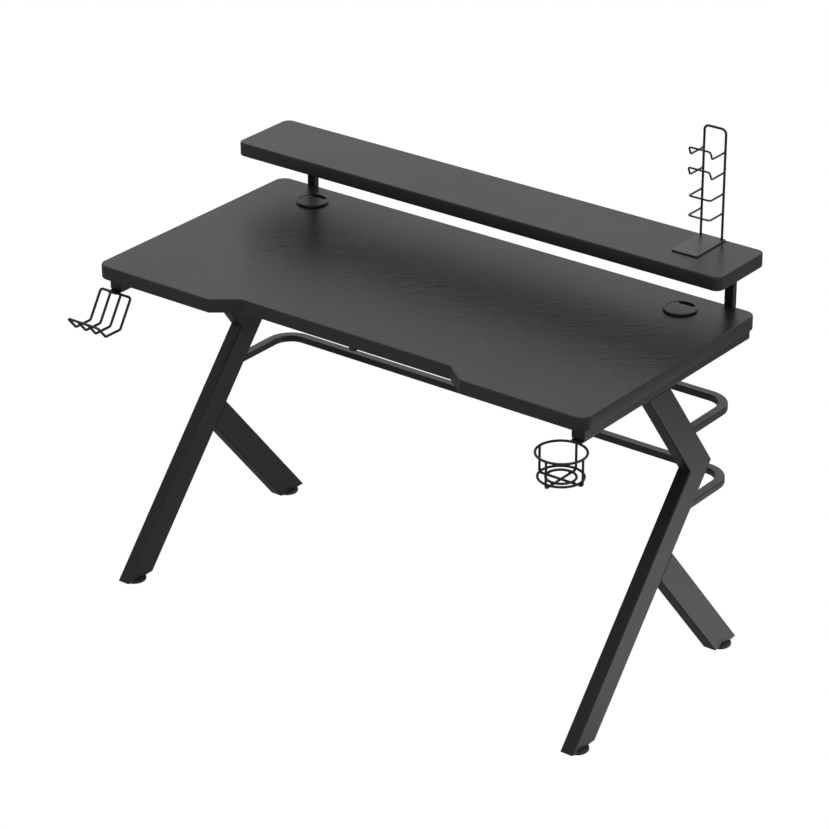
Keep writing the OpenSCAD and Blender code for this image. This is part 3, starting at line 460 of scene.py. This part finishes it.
new_piece("desktop_board", slab(
    [(LEFT_END, 0, DESK_CORNER), (-CUTOUT_OUTER, 0, CUTOUT_CORNER),
     (-CUTOUT_INNER, CUTOUT_DEPTH, CUTOUT_CORNER), (CUTOUT_INNER, CUTOUT_DEPTH, CUTOUT_CORNER),
     (CUTOUT_OUTER, 0, CUTOUT_CORNER), (RIGHT_END, 0, DESK_CORNER),
     (RIGHT_END, DESK_BACK, DESK_CORNER), (LEFT_END, DESK_BACK, DESK_CORNER)],
    TABLE_Z - BOARD_T, TABLE_Z, BOARD_EDGE,
    holes=[circle(s * OUTLET_X, OUTLET_Y, OUTLET_HOLE_R) for s in (-1, 1)]), ["desktop"])

new_piece("shelf_board", slab(
    [(LEFT_END, SHELF_FRONT, SHELF_CORNER), (RIGHT_END, SHELF_FRONT, SHELF_CORNER),
     (RIGHT_END, SHELF_BACK, SHELF_CORNER), (LEFT_END, SHELF_BACK, SHELF_CORNER)],
    SHELF_Z - BOARD_T, SHELF_Z, BOARD_EDGE), ["shelf"])


# Cable outlets: liners turned from a profile, with heights from the desktop's top, and caps that turn in them

LINER_BORE_R, LINER_OUTER_R, LINER_LOW = 28, 29.8, -22
SEAT_R, SEAT_HIGH = 31, 0.7
RIM_R, RIM_HIGH, RIM_INNER_EDGE, RIM_OUTER_EDGE = 35, 4.0, 0.6, 1.4
CAP_R, CAP_LOW, CAP_HIGH, CAP_EDGE = 30.7, 1.0, 3.2, 0.4
SLOT_HALF, SLOT_FRONT, SLOT_CORNER = 19.0, 18.0, 5.5

LINER = [(LINER_BORE_R, LINER_LOW), (LINER_BORE_R, SEAT_HIGH), (SEAT_R, SEAT_HIGH),
         (SEAT_R, RIM_HIGH - RIM_INNER_EDGE)]
LINER += arc(SEAT_R + RIM_INNER_EDGE, RIM_HIGH - RIM_INNER_EDGE, RIM_INNER_EDGE, 180, 90)
LINER += arc(RIM_R - RIM_OUTER_EDGE, RIM_HIGH - RIM_OUTER_EDGE, RIM_OUTER_EDGE, 90, 0)
LINER += [(RIM_R, 0), (LINER_OUTER_R, 0), (LINER_OUTER_R, LINER_LOW)]


def cap_corners(x, y):
    """Plan of a turning cap: a disc with a wide cut-out at its back for the cables."""
    count, rim_corner = 72, 0.05
    reach = math.asin(SLOT_HALF / CAP_R)
    start, end = math.pi / 2 + reach, math.tau + math.pi / 2 - reach
    turns = [start + (end - start) * k / count for k in range(count + 1)]
    rim = [(x + CAP_R * math.cos(t), y + CAP_R * math.sin(t), rim_corner) for t in turns]
    return rim + [(x + SLOT_HALF, y + SLOT_FRONT, SLOT_CORNER), (x - SLOT_HALF, y + SLOT_FRONT, SLOT_CORNER)]


for side, s in (("left", -1), ("right", 1)):
    new_piece(f"{side}_liner_turned", lathe(LINER, s * OUTLET_X, OUTLET_Y, TABLE_Z), [f"{side}_outlet_liner"])
    new_piece(f"{side}_cap_moulded", slab(cap_corners(s * OUTLET_X, OUTLET_Y), TABLE_Z + CAP_LOW,
                                          TABLE_Z + CAP_HIGH, CAP_EDGE, parts=5),
              [f"{side}_outlet_cap"], body=f"{side}_cap")


# Controller stand: a base plate, a tall hoop, two hooks with a lip and two level loops

STAND_X, STAND_Y, STAND_HALF = 479.0, 610.0, 24.75
STAND_SIDES = (STAND_X - STAND_HALF, STAND_X + STAND_HALF)
PLATE_T, PLATE_CORNER, PLATE_EDGE = 3, 3, 1.2
PLATE_LEFT, PLATE_RIGHT, PLATE_FRONT, PLATE_BACK = 449, 509, 511, 618
STAND_FOOT, STAND_TOP = SHELF_Z + PLATE_T, SHELF_Z + 235
HOOKS_Z = (SHELF_Z + 188.5, SHELF_Z + 146)
LOOPS_Z = (SHELF_Z + 101.5, SHELF_Z + 60)
HOOK_BEND_OUT, HOOK_TIP_OUT, HOOK_TIP_UP, LOOP_OUT = 47.5, 55, 17, 49
HOOP_R, HOOP_BEND = 2.5, 10
WIRE_R, WIRE_BEND = 2.0, 5
STAND_WELD_R, STAND_WELD_OUT, FOOT_WELD_UP = 2.9, 2.3, 0.4

wire("stand_hoop_wire", both_sides([(STAND_Y, STAND_FOOT), (STAND_Y, STAND_TOP)], *STAND_SIDES),
     HOOP_R, HOOP_BEND, ["stand_hoop"])
for name, z in zip(("upper", "lower"), HOOKS_Z):
    hook_side = [(STAND_Y - HOOP_R, z), (STAND_Y - HOOK_BEND_OUT, z), (STAND_Y - HOOK_TIP_OUT, z + HOOK_TIP_UP)]
    wire(f"stand_{name}_hook_wire", both_sides(hook_side, *STAND_SIDES), WIRE_R, WIRE_BEND,
         [f"stand_{name}_hook"])
for name, z in zip(("upper", "lower"), LOOPS_Z):
    loop_side = [(STAND_Y - HOOP_R, z), (STAND_Y - LOOP_OUT, z)]
    wire(f"stand_{name}_loop_wire", both_sides(loop_side, *STAND_SIDES), WIRE_R, WIRE_BEND,
         [f"stand_{name}_loop"])
blobs("stand_welds",
      [(x, STAND_Y - STAND_WELD_OUT, z) for x in STAND_SIDES for z in (*HOOKS_Z, *LOOPS_Z)]
      + [(x, STAND_Y, STAND_FOOT + FOOT_WELD_UP) for x in STAND_SIDES], STAND_WELD_R)
plate = new_piece("stand_base_plate", slab(
    [(PLATE_LEFT, PLATE_FRONT, PLATE_CORNER), (PLATE_RIGHT, PLATE_FRONT, PLATE_CORNER),
     (PLATE_RIGHT, PLATE_BACK, PLATE_CORNER), (PLATE_LEFT, PLATE_BACK, PLATE_CORNER)],
    SHELF_Z, SHELF_Z + PLATE_T, PLATE_EDGE), ["stand_base"])
# Its paint is a little lighter than the frame's
plate.data.materials[0] = powder_coat("plate_paint", (0.015, 0.015, 0.0155), (0.019, 0.019, 0.0195),
                                      0.36, 0.44, ior=1.56)


# Controller hanger: four side wires from a top bar down, forward and up to a lip

HANGER_WIRE_R, HANGER_BEND, HANGER_W = 2.75, 6, 81.5
HANGER_BAR = (15.5, 674.25)
HANGER_LIP = (-86.5, 642.5)
HANGER_SIDE = [HANGER_BAR, (-20.5, 616), (-64.5, 616), HANGER_LIP]
HANGER_XS = [-FRAME_X + (k / 3 - 0.5) * HANGER_W for k in range(4)]
HANGER_TURN = 11.0
HANGER_WELD_R, BAR_WELD, LIP_WELD = 3.0, (-1.2, -1.6), (1, -1.4)


def shortened(points, end):
    """The same side view with both its ends drawn in, in millimetres."""
    a, b, c, d = (Vector(p) for p in points)
    a = a + (b - a).normalized() * end
    d = d - (d - c).normalized() * end
    return [a, b, c, d]


# The outer wire turns into the top bar with round corners and meets it a little further in
bar_ends = [(HANGER_XS[0] + HANGER_TURN, *HANGER_BAR), (HANGER_XS[3] - HANGER_TURN, *HANGER_BAR)]
outer_path = bar_ends[:1] + both_sides(HANGER_SIDE, HANGER_XS[0], HANGER_XS[3]) + bar_ends[1:]
wire("hanger_bar_wire", bar_ends, HANGER_WIRE_R, HANGER_BEND, ["hanger_top_bar"])
wire("hanger_outer_bent", outer_path, HANGER_WIRE_R, HANGER_BEND, ["hanger_outer_wire"])
inner = bmesh.new()
for x in HANGER_XS[1:3]:
    inner_side = [(x, *p) for p in shortened(HANGER_SIDE, HANGER_WIRE_R)]
    tube(inner, bent(inner_side, HANGER_BEND), HANGER_WIRE_R)
new_piece("hanger_inner_bent", inner, ["hanger_inner_wires"])
# The beads lie in the corner between two wires, a little away from the middle of the bar and of the lip
hanger_joints = ((HANGER_BAR, BAR_WELD), (HANGER_LIP, LIP_WELD))
blobs("hanger_welds", [(x, y + dy, z + dz) for (y, z), (dy, dz) in hanger_joints for x in HANGER_XS[1:3]],
      HANGER_WELD_R)


# Cup holder: three rings, a wire across under the cup and two half wires crosswise to it

CUP_X, CUP_Y = 572.5, -35.0
CUP_TOP, CUP_BASE = 674.5, 619.0
CUP_R, CUP_FLOOR_R, CUP_WIRE_R, CUP_BEND = 49.0, 29.0, 2.5, 5.5
CUP_WIRE_D = 2 * CUP_WIRE_R
CUP_WELD_R = 2.8
AROUND = [(1, 0), (0, 1), (-1, 0), (0, -1)]

hoop("cup_top_hoop", CUP_X, CUP_Y, CUP_TOP, CUP_R, CUP_WIRE_R, ["cup_top_ring"])
hoop("cup_lower_hoop", CUP_X, CUP_Y, CUP_BASE + CUP_BEND, CUP_R - CUP_WIRE_D, CUP_WIRE_R, ["cup_lower_ring"])
hoop("cup_floor_hoop", CUP_X, CUP_Y, CUP_BASE + CUP_WIRE_D, CUP_FLOOR_R, CUP_WIRE_R, ["cup_floor_ring"])
wire("cup_cross_bent", [(CUP_X - CUP_R, CUP_Y, CUP_TOP - CUP_WIRE_R), (CUP_X - CUP_R, CUP_Y, CUP_BASE),
                        (CUP_X + CUP_R, CUP_Y, CUP_BASE), (CUP_X + CUP_R, CUP_Y, CUP_TOP - CUP_WIRE_R)],
     CUP_WIRE_R, CUP_BEND, ["cup_cross_wire"])
sides = bmesh.new()
for s in (-1, 1):
    half_side = [(CUP_X, CUP_Y + s * CUP_R, CUP_TOP - CUP_WIRE_R), (CUP_X, CUP_Y + s * CUP_R, CUP_BASE),
                 (CUP_X, CUP_Y + s * CUP_WIRE_R, CUP_BASE)]
    tube(sides, bent(half_side, CUP_BEND), CUP_WIRE_R)
new_piece("cup_side_bent", sides, ["cup_side_wires"])


def cup_around(radius, z):
    """The four places where the upright and floor wires meet a ring."""
    return [(CUP_X + radius * a, CUP_Y + radius * b, z) for a, b in AROUND]


blobs("cup_welds",
      cup_around(CUP_R, CUP_TOP - CUP_WIRE_R)
      + cup_around(CUP_R - CUP_WIRE_R, CUP_BASE + CUP_BEND)
      + cup_around(CUP_FLOOR_R, CUP_BASE + CUP_WIRE_R)
      + [(CUP_X, CUP_Y + CUP_WELD_R * s, CUP_BASE) for s in (-1, 1)], CUP_WELD_R)


# Cable hook: a strip under the desktop's front middle, bent down, back and up

DESK_UNDER = TABLE_Z - BOARD_T
STRIP_TOP, STRIP_FLOOR, STRIP_LIP = DESK_UNDER - 1, DESK_UNDER - 20, DESK_UNDER - 13
STRIP_BACK, STRIP_FRONT, STRIP_TIP = 107, 66, 80
STRIP_WIDTH, STRIP_T, STRIP_BEND = 12, 2, 2.2

strip("cable_hook_bent", [(STRIP_BACK, STRIP_TOP), (STRIP_FRONT, STRIP_TOP), (STRIP_FRONT, STRIP_FLOOR),
                          (STRIP_TIP, STRIP_FLOOR), (STRIP_TIP, STRIP_LIP)],
      STRIP_WIDTH, STRIP_T, STRIP_BEND, ["cable_hook"])


# Rounded edges of CAD nodes that show, by their width in metres

EDGE_WIDTHS = {"rail_end_caps": 0.0007, "post_foot_plates": 0.0006, "post_head_plates": 0.0006,
               "hanger_plate": 0.0005, "cup_plate": 0.0005}

for node, width in EDGE_WIDTHS.items():
    rounding = frame["nodes"][node].modifiers.new("edges", "BEVEL")
    rounding.width = width
    rounding.segments = 3
    rounding.limit_method = "ANGLE"
    rounding.angle_limit = SHARP_ANGLE
    rounding.harden_normals = True


# Light and camera

# Soft lights of the studio: the way to each, the cosines where it starts and is full, and its strength
LIGHTS = {
    "all round": ((0, 0, 1), -1.01, -1.0, 0.14),
    "behind, left, above": ((-0.4, 0.7, 0.62), 0.35, 0.9, 0.8),
    "behind, right": ((0.7, 0.65, -0.1), 0.35, 0.95, 0.22),
    "overhead": ((0, 0.2, 1), 0.6, 1.0, 1.0),
    "front, left": ((-0.5, -0.75, 0.05), -0.25, 0.7, 0.23),
    "front, right, above": ((0.75, -0.5, 0.5), 0.4, 0.95, 0.3),
}

# Soft box: its size and places in metres, and its power in watts
PANEL_WIDE, PANEL_HIGH, PANEL_POWER = 1.0, 0.7, 2.1
PANEL_PLACE, PANEL_AIM = (1.15, 0.56, -0.2), (0.5, -0.1, 0.35)

# The photograph's camera, as solved from the desk's own edges: azimuth, elevation and roll in degrees, its
# place on the desk, the lens and sensor in millimetres, and how far it sees in metres
CAMERA_ANGLES = (37.294, 25.953, -0.172)
CAMERA_PLACE = (3704.9, -4595.4, 3442.8)
CAMERA_LENS, CAMERA_SENSOR, CAMERA_FAR = 145.2, 36, 100


def studio():
    """White ground for the camera, and around the desk a dim room with the soft lights of LIGHTS."""
    world = bpy.data.worlds.new("studio")
    bpy.context.scene.world = world
    world.use_nodes = True
    nodes, links = world.node_tree.nodes, world.node_tree.links
    nodes.clear()
    place = nodes.new("ShaderNodeTexCoord")
    total = None
    for towards, start, end, strength in LIGHTS.values():
        near = nodes.new("ShaderNodeVectorMath")
        near.operation = "DOT_PRODUCT"
        near.inputs[1].default_value = Vector(towards).normalized()
        links.new(place.outputs["Generated"], near.inputs[0])
        ramp = nodes.new("ShaderNodeMapRange")
        ramp.interpolation_type = "SMOOTHSTEP"
        for key, value in (("From Min", start), ("From Max", end), ("To Min", 0.0), ("To Max", strength)):
            ramp.inputs[key].default_value = value
        links.new(near.outputs["Value"], ramp.inputs["Value"])
        if total is None:
            total = ramp.outputs["Result"]
        else:
            sum_up = nodes.new("ShaderNodeMath")
            links.new(total, sum_up.inputs[0])
            links.new(ramp.outputs["Result"], sum_up.inputs[1])
            total = sum_up.outputs[0]
    lit = nodes.new("ShaderNodeBackground")
    links.new(total, lit.inputs["Strength"])
    plain = nodes.new("ShaderNodeBackground")
    plain.inputs["Strength"].default_value = 1.0
    for shader in (lit, plain):
        shader.inputs["Color"].default_value = (1, 1, 1, 1)
    seen = nodes.new("ShaderNodeLightPath")
    either = nodes.new("ShaderNodeMixShader")
    links.new(seen.outputs["Is Camera Ray"], either.inputs["Fac"])
    links.new(lit.outputs[0], either.inputs[1])
    links.new(plain.outputs[0], either.inputs[2])
    links.new(either.outputs[0], nodes.new("ShaderNodeOutputWorld").inputs["Surface"])
    bpy.context.scene.view_settings.view_transform = "Standard"
    bpy.context.scene.view_settings.look = "None"


def panel():
    """Low soft box behind the right side, for the legs' outer faces."""
    data = bpy.data.lights.new("low_panel", "AREA")
    data.shape = "RECTANGLE"
    data.size, data.size_y = PANEL_WIDE, PANEL_HIGH
    data.energy = PANEL_POWER
    lamp = bpy.data.objects.new("low_panel", data)
    bpy.context.collection.objects.link(lamp)
    lamp.location = PANEL_PLACE
    lamp.rotation_euler = (Vector(PANEL_AIM) - lamp.location).to_track_quat("-Z", "Y").to_euler()
    lamp.visible_camera = False


def camera():
    """The photograph's camera."""
    azimuth, elevation, roll = (math.radians(v) for v in CAMERA_ANGLES)
    back = Vector((math.sin(azimuth) * math.cos(elevation), -math.cos(azimuth) * math.cos(elevation),
                   math.sin(elevation)))
    level = Vector((math.cos(azimuth), math.sin(azimuth), 0))
    upright = back.cross(level)
    right = level * math.cos(roll) + upright * math.sin(roll)
    up = -level * math.sin(roll) + upright * math.cos(roll)
    data = bpy.data.cameras.new("camera")
    data.sensor_width = CAMERA_SENSOR
    data.lens = CAMERA_LENS
    data.clip_end = CAMERA_FAR
    view = bpy.data.objects.new("camera", data)
    bpy.context.collection.objects.link(view)
    facing = Matrix((right, up, back)).transposed().to_4x4()
    view.matrix_world = Matrix.Translation(at(*CAMERA_PLACE)) @ facing
    bpy.context.scene.camera = view


studio()
panel()
camera()

bpy.context.view_layer.update()
